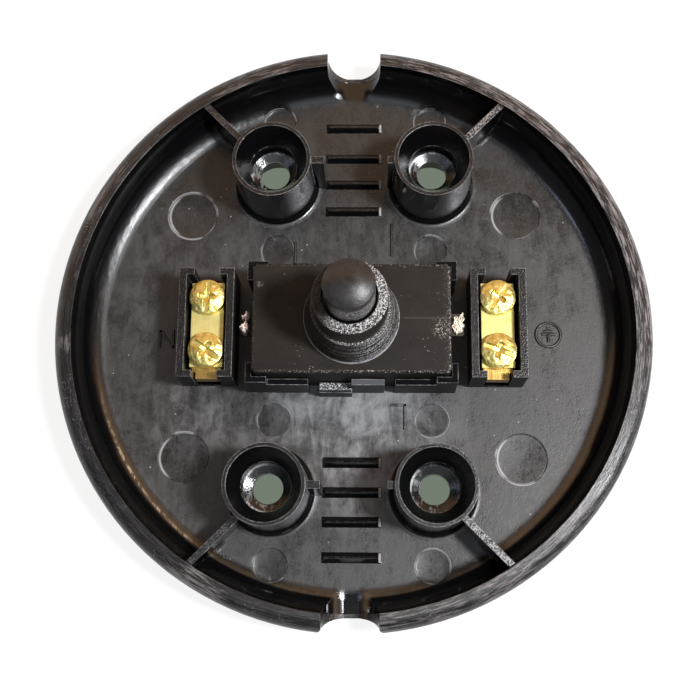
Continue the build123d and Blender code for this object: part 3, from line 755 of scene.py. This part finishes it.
MARK_WIDTH = 0.42 * MM
MARK_RISE = 0.22 * MM
MARK_ROOT = 0.15 * MM


def bar_tree(material):
    """Tree that turns bare edges into bars of a set width and height."""
    nodes, entry = shaping_tree("mark_bars", ("Width", "Height"))
    runs = nodes.add("GeometryNodeMeshToCurve", None, {"Mesh": entry["Start"]})
    runs = nodes.add("GeometryNodeSetCurveNormal", {"mode": "Z_UP"}, {"Curve": runs})
    section = nodes.add("GeometryNodeCurvePrimitiveQuadrilateral", None, {
        "Width": entry["Width"], "Height": entry["Height"]})
    bars = nodes.add("GeometryNodeCurveToMesh", None, {
        "Curve": runs, "Profile Curve": section, "Fill Caps": True})
    end_tree(nodes, bars, material)
    return nodes.tree


def mark_strokes(strokes, place, turn=0.0):
    """Strokes in millimetres about a place, turned, as points on the floor."""
    swing = complex(math.cos(turn), math.sin(turn))
    middle = FLOOR_TOP + (MARK_RISE - MARK_ROOT) / 2
    lines = []
    for stroke in strokes:
        turned = [complex(*point) * swing + complex(*place) for point in stroke]
        lines.append([(point.real * MM, point.imag * MM, middle) for point in turned])
    return lines


def ring_stroke(radius, count=48):
    """Ring as one stroke that ends where it starts."""
    steps = [2 * math.pi * step / count for step in range(count + 1)]
    return [(radius * math.cos(angle), radius * math.sin(angle)) for angle in steps]


# Strokes in millimetres about each mark's middle; the last is a short line left by the mould
LETTER_N = [[(-1.15, -1.6), (-1.15, 1.6)], [(-1.15, 1.5), (1.15, -1.5)], [(1.15, -1.6), (1.15, 1.6)]]
LETTER_L = [[(-1.15, -2.2), (-1.15, 2.2)], [(-1.35, -2.0), (1.3, -2.0)]]
EARTH_SIGN = [ring_stroke(2.1), [(0, 1.3), (0, -0.1)], [(-1.1, -0.1), (1.1, -0.1)],
              [(-0.7, -0.65), (0.7, -0.65)], [(-0.3, -1.2), (0.3, -1.2)]]
MOULD_LINE = [[(0, -3.0), (0, 3.0)]]

marks = mark_strokes(LETTER_N, (-32.1, -0.95))
marks += mark_strokes(EARTH_SIGN, (33.5, -0.1), math.pi)
marks += mark_strokes(LETTER_L, (-9.0, 14.4))
marks += mark_strokes(LETTER_L, (7.75, -14.4), math.pi)
marks += mark_strokes(MOULD_LINE, (6.7, 17.0))
wiring_marks = shaped("wiring_marks", edge_mesh("wiring_marks", marks),
                      bar_tree(finishes["tray_plastic"]),
                      {"Width": MARK_WIDTH, "Height": MARK_RISE + MARK_ROOT})
place_piece(wiring_marks, "base", "tray_plastic")


# Terminal screws with combination heads

SCREW_TURNS = {"neutral_screw_back": 1.5, "neutral_screw_front": -0.6,
               "earth_screw_back": 0.9, "earth_screw_front": -0.35}
SHANK_RADIUS = 1.7 * MM
HEAD_CROWN = 0.7 * MM
SLOT_HALF = 0.42 * MM
SLOT_DEPTH = 0.6 * MM
CROSS_HALF = 0.36 * MM
CROSS_REACH = 1.6 * MM
CROSS_DEPTH = 0.85 * MM
WALL_SLOPE = 0.26 * MM
PIT_SLOPE = 0.25
HEAD_WEAR = 0.09 * MM
COARSE_WEAR = 0.8 * MM
FINE_WEAR = 0.35 * MM


def eased(value, low, high):
    """0 below low, 1 over high and a smooth step between."""
    share = min(max((value - low) / (high - low), 0.0), 1.0)
    return share * share * (3 - 2 * share)


def head_height(x, y, radius, crown):
    """Height over the seat of a worn crowned head with a slot and a cross recess."""
    out = math.hypot(x, y)
    top = crown - HEAD_CROWN * (out / radius) ** 2
    top += HEAD_WEAR * noise.noise(Vector((x, y, 0)) / COARSE_WEAR)
    top += HEAD_WEAR * 0.5 * noise.noise(Vector((y, x, MM)) / FINE_WEAR)
    slot = 1 - eased(abs(y), SLOT_HALF - WALL_SLOPE / 2, SLOT_HALF + WALL_SLOPE / 2)
    top -= slot * max(top - (crown - SLOT_DEPTH), 0)
    for near, far in ((abs(x), abs(y)), (abs(y), abs(x))):
        arm = 1 - eased(near, CROSS_HALF - WALL_SLOPE / 2, CROSS_HALF + WALL_SLOPE / 2)
        arm *= 1 - eased(far, CROSS_REACH - 2 * WALL_SLOPE, CROSS_REACH)
        pit = crown - CROSS_DEPTH + PIT_SLOPE * far
        top -= arm * max(top - pit, 0)
    return min(top, crown)


def screw_template(radius, crown, tip, rings=40, around=144):
    """One screw about the origin, seated at Z 0: worn head on a plain shank."""
    shape = bmesh.new()
    outline = [(radius * step / rings, None) for step in range(1, rings + 1)]
    outline += [(radius, 0.0), (SHANK_RADIUS, 0.0), (SHANK_RADIUS, tip)]
    circles = []
    for out, height in outline:
        circle = []
        for step in range(around):
            angle = 2 * math.pi * step / around
            x = out * math.cos(angle)
            y = out * math.sin(angle)
            z = head_height(x, y, radius, crown) if height is None else height
            circle.append(shape.verts.new((x, y, z)))
        circles.append(circle)
    middle = shape.verts.new((0, 0, head_height(0, 0, radius, crown)))
    bottom = shape.verts.new((0, 0, tip))
    for step in range(around):
        after = (step + 1) % around
        shape.faces.new((middle, circles[0][step], circles[0][after]))
        shape.faces.new((bottom, circles[-1][after], circles[-1][step]))
        for inner, outer in zip(circles, circles[1:]):
            shape.faces.new((inner[step], outer[step], outer[after], inner[after]))
    bmesh.ops.recalc_face_normals(shape, faces=shape.faces)
    mesh = bpy.data.meshes.new("screw_template")
    shape.to_mesh(mesh)
    shape.free()
    mesh.polygons.foreach_set("use_smooth", [True] * len(mesh.polygons))
    mesh.set_sharp_from_angle(angle=math.radians(40))
    return mesh


def screw_set():
    """The four terminal screws, set on their seats and turned."""
    low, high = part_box("neutral_screw_back")
    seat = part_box("neutral_clamp_strip")[1][2]
    template = bpy.data.objects.new("screw_template", screw_template(
        (high[0] - low[0]) / 2, high[2] - seat, low[2] - seat))
    places = []
    for node in SCREW_TURNS:
        low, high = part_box(node)
        places.append(((low[0] + high[0]) / 2, (low[1] + high[1]) / 2, 0))
    start = bpy.data.meshes.new("screw_places")
    start.from_pydata(places, [], [])
    turns = start.attributes.new("turn", "FLOAT", "POINT")
    turns.data.foreach_set("value", list(SCREW_TURNS.values()))
    nodes, entry = shaping_tree("screw_set", ("Seat",))
    turn = nodes.add("GeometryNodeInputNamedAttribute", {"data_type": "FLOAT"}, {"Name": "turn"})
    heading = nodes.add("ShaderNodeCombineXYZ", None, {"Z": turn})
    one = nodes.add("GeometryNodeObjectInfo", None, {"Object": template}, output="Geometry")
    screws = nodes.add("GeometryNodeInstanceOnPoints", None, {
        "Points": entry["Start"], "Instance": one, "Rotation": heading})
    lift = nodes.add("ShaderNodeCombineXYZ", None, {"Z": entry["Seat"]})
    screws = nodes.add("GeometryNodeTransform", None, {"Geometry": screws, "Translation": lift})
    end_tree(nodes, screws, finishes["screw_brass"])
    piece = shaped("terminal_screws", start, nodes.tree, {"Seat": seat})
    bpy.data.objects.remove(template)
    return piece


place_piece(screw_set(), "base", "screw_brass", *SCREW_TURNS)


# Solder on both lugs and strands on the right one

STRAND_RADIUS = 0.12 * MM
STRAND_SEED = 7
LUMP_SPREAD = 1.2
LUMP_LIFT = 0.15 * MM
LUMP_DENT = 0.3
DENT_SIZE = 0.35 * MM
DENT_SHIFT = 0.33 * MM
LEFT_SOLDER_RISE = 1.8 * MM

# Middle of the right lug's strands, and place in plan and radius of each lump, in millimetres
STRAND_MIDDLE = 17.5
SOLDER_LUMPS = [((-17.4, 1.6), 0.24), ((-17.3, 1.15), 0.36), ((-17.55, 0.95), 0.3),
                ((-18.05, 0.84), 0.2), ((-17.8, 0.85), 0.15), ((-17.42, 0.45), 0.17),
                ((-17.42, 0.2), 0.16), ((-17.45, -0.05), 0.17), ((-17.6, -0.3), 0.24),
                ((-17.35, -0.6), 0.32), ((-17.95, -0.75), 0.4), ((-18.35, -0.95), 0.2),
                ((-17.4, -1.1), 0.34), ((-17.75, -1.3), 0.4), ((-17.6, -1.75), 0.28)]
TINNED_LUMPS = [((17.65, 0.35), 0.5), ((17.95, -0.2), 0.5), ((17.35, -0.4), 0.45),
                ((17.75, -0.95), 0.45), ((17.3, 1.2), 0.25)]


def solder_lumps(name, lumps, rise, material):
    """Uneven drops of solder run together on a lug, drawn up to a height over it."""
    shape = bmesh.new()
    for (x, y), size in lumps:
        made = bmesh.ops.create_icosphere(shape, subdivisions=4, radius=size * LUMP_SPREAD * MM)
        middle = Vector((x * MM, y * MM, LUG_TOP + LUMP_LIFT + rise / 2))
        stretch = 1 + rise / (2 * size * MM)
        for vert in made["verts"]:
            vert.co *= 1 + LUMP_DENT * noise.noise(vert.co / DENT_SIZE + middle / DENT_SHIFT)
            vert.co.z *= stretch
            vert.co += middle
    mesh = bpy.data.meshes.new(name)
    shape.to_mesh(mesh)
    shape.free()
    mesh.polygons.foreach_set("use_smooth", [True] * len(mesh.polygons))
    mesh.materials.append(material)
    piece = bpy.data.objects.new(name, mesh)
    bpy.context.scene.collection.objects.link(piece)
    return piece


def strand_tree(material):
    """Tree that turns bare edges into smooth round strands."""
    nodes, entry = shaping_tree("lug_strands", ("Radius",))
    runs = nodes.add("GeometryNodeMeshToCurve", None, {"Mesh": entry["Start"]})
    runs = nodes.add("GeometryNodeCurveSplineType", {"spline_type": "CATMULL_ROM"}, {"Curve": runs})
    section = nodes.add("GeometryNodeCurvePrimitiveCircle", None, {
        "Resolution": 10, "Radius": entry["Radius"]})
    strands = nodes.add("GeometryNodeCurveToMesh", None, {
        "Curve": runs, "Profile Curve": section, "Fill Caps": True})
    end_tree(nodes, strands, material)
    return nodes.tree


def strand_runs(count=16):
    """Short crumpled wire ends about the right lug."""
    draw = random.Random(STRAND_SEED)
    runs = []
    for _ in range(count):
        x = STRAND_MIDDLE + draw.uniform(-0.7, 0.75)
        y = draw.uniform(-0.6, 0.8)
        run = []
        for step in range(5):
            run.append(((x + draw.uniform(-0.4, 0.4)) * MM,
                        (y + (step - 2) * 0.5 + draw.uniform(-0.25, 0.25)) * MM,
                        LUG_TOP + draw.uniform(0.1, 0.75) * MM))
        runs.append(run)
    return runs


lug_solder = solder_lumps("left_lug_solder", SOLDER_LUMPS, LEFT_SOLDER_RISE, finishes["copper_contact"])
place_piece(lug_solder, "base", "copper_contact")
lug_tin = solder_lumps("right_lug_solder", TINNED_LUMPS, 0.0, finishes["tinned_contact"])
place_piece(lug_tin, "base", "tinned_contact")
lug_strands = shaped("right_lug_strands", edge_mesh("right_lug_strands", strand_runs()),
                     strand_tree(finishes["tinned_contact"]), {"Radius": STRAND_RADIUS})
place_piece(lug_strands, "base", "tinned_contact")


# Return spring

SPRING_WIRE_RADIUS = 0.25 * MM
SPRING_TURNS = 7


def coil_tree(material):
    """Tree that winds a round wire into a coil standing on a height."""
    nodes, entry = shaping_tree("return_coil", ("Radius", "Wire Radius", "Height", "Bottom"))
    path = nodes.add("GeometryNodeCurveSpiral", None, {
        "Resolution": 48, "Rotations": SPRING_TURNS, "Start Radius": entry["Radius"],
        "End Radius": entry["Radius"], "Height": entry["Height"]})
    section = nodes.add("GeometryNodeCurvePrimitiveCircle", None, {
        "Resolution": 14, "Radius": entry["Wire Radius"]})
    coil = nodes.add("GeometryNodeCurveToMesh", None, {
        "Curve": path, "Profile Curve": section, "Fill Caps": True})
    lift = nodes.add("ShaderNodeCombineXYZ", None, {"Z": entry["Bottom"]})
    coil = nodes.add("GeometryNodeTransform", None, {"Geometry": coil, "Translation": lift})
    end_tree(nodes, coil, material)
    return nodes.tree


spring_low, spring_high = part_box("return_spring")
spring_length = spring_high[2] - spring_low[2]
press = next(j for j in frame["record"]["behaviour"]["joints"] if j["name"] == "button_press")
coil_sizes = {"Radius": (spring_high[0] - spring_low[0]) / 2 - SPRING_WIRE_RADIUS,
              "Wire Radius": SPRING_WIRE_RADIUS,
              "Height": spring_length - 2 * SPRING_WIRE_RADIUS,
              "Bottom": spring_low[2] + SPRING_WIRE_RADIUS}
return_coil = shaped("return_coil", bpy.data.meshes.new("return_coil"),
                     coil_tree(finishes["spring_steel"]), coil_sizes)
place_piece(return_coil, "base", "spring_steel", "return_spring")
1 - press["range_m"][1] / spring_length
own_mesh(return_coil)


# Stage: floor, soft ceiling, lamps and camera

STAGE_SIZE = 6.0
FLOOR_DROP = 0.02 * MM
CEILING_HEIGHT = 0.5
LAMP_AIM = (0, 0, 0.01)


def stage_plane(name, height, material):
    """Level square of the stage at a height."""
    mesh = bpy.data.meshes.new(name)
    half = STAGE_SIZE / 2
    corners = [(-half, -half, height), (half, -half, height), (half, half, height), (-half, half, height)]
    mesh.from_pydata(corners, [], [(0, 1, 2, 3)])
    mesh.materials.append(material)
    plane = bpy.data.objects.new(name, mesh)
    bpy.context.scene.collection.objects.link(plane)
    return plane


def seen_directly(nodes):
    """1 for what the camera sees, straight or in a mirror or glass."""
    rays = nodes.add("ShaderNodeLightPath", output=None)
    return rays["Is Camera Ray"].most(rays["Is Glossy Ray"]).most(rays["Is Transmission Ray"])


def floor_finish():
    """White floor that keeps a faint shadow; under the tray it glows a dim grey-green, the surface there
    with its shade painted in.
    """
    material, nodes = new_material("stage_floor")
    x, y = nodes.axes(nodes.place())[:2]
    # Painted shade: under the tray the floor glows a fixed dim grey-green
    under = round_patch(x, y, (0.0, 0.0), 42 * MM, 44 * MM)
    glow = nodes.add("ShaderNodeEmission", None, {
        "Color": nodes.mix(under, colour(1, 1, 1), colour(0.17, 0.205, 0.16)), "Strength": 1.0})
    lit = nodes.add("ShaderNodeBsdfDiffuse", None, {
        "Color": nodes.mix(under, colour(0.9, 0.9, 0.9), colour(0.2, 0.22, 0.19))})
    share = seen_directly(nodes) * (0.86 + under * 0.14)
    surface = nodes.add("ShaderNodeMixShader", None, {0: share, 1: lit, 2: glow})
    nodes.add("ShaderNodeOutputMaterial", None, {"Surface": surface})
    return material


def ceiling_finish():
    """Dim room seen only in the shine: brown at the back, cool in front."""
    material, nodes = new_material("stage_ceiling")
    material.cycles.emission_sampling = "NONE"
    x, y = nodes.axes(nodes.place())[:2]
    back = y.above(0.19, 0.27) * (1 - y.above(0.8, 1.8))
    front = (1 - y.above(-0.1, -0.04)) * y.above(-0.5, -0.2) * (1 - abs(x - 0.05).above(0.1, 0.4))
    tint = nodes.mix(back, colour(0.93, 0.97, 1.0), colour(1.0, 0.62, 0.36))
    brightness = 0.12 + back * 1.15 + front * 1.4
    shade = nodes.add("ShaderNodeVectorMath", {"operation": "SCALE"}, {0: tint, "Scale": brightness})
    glow = nodes.add("ShaderNodeEmission", None, {"Color": shade, "Strength": 1.0})
    nodes.add("ShaderNodeOutputMaterial", None, {"Surface": glow})
    return material


stage_plane("stage_floor", -FLOOR_DROP, floor_finish())
ceiling = stage_plane("stage_ceiling", CEILING_HEIGHT, ceiling_finish())
ceiling.visible_camera = False
ceiling.visible_shadow = False


def lamp(name, place, size, power, tint):
    """Round soft lamp aimed at the part."""
    light = bpy.data.lights.new(name, "AREA")
    light.shape = "DISK"
    light.size = size
    light.energy = power
    light.color = tint
    stand = bpy.data.objects.new(name, light)
    stand.location = place
    stand.rotation_euler = (Vector(place) - Vector(LAMP_AIM)).to_track_quat("Z", "Y").to_euler()
    bpy.context.scene.collection.objects.link(stand)


lamp("key_lamp", (0.22, -0.05, 0.40), size=0.07, power=2.9, tint=(0.97, 0.98, 1.0))
lamp("side_lamp", (-0.27, -0.02, 0.47), size=0.06, power=0.12, tint=(0.7, 0.76, 1.0))

world = bpy.data.worlds.new("studio")
world.use_nodes = True
bpy.context.scene.world = world
sky = Nodes(world.node_tree)
strength = 0.25 + seen_directly(sky) * 0.75
backdrop = sky.add("ShaderNodeBackground", None, {"Color": colour(1, 1, 1), "Strength": strength})
sky.add("ShaderNodeOutputWorld", None, {"Surface": backdrop})

camera = bpy.data.objects.new("camera", bpy.data.cameras.new("camera"))
camera.location = CAMERA_PLACE
camera.rotation_euler = CAMERA_TURN
camera.data.lens = CAMERA_LENS
camera.data.sensor_width = 36
camera.data.clip_start = 0.001
bpy.context.scene.collection.objects.link(camera)
bpy.context.scene.camera = camera
bpy.context.scene.view_settings.view_transform = "Standard"
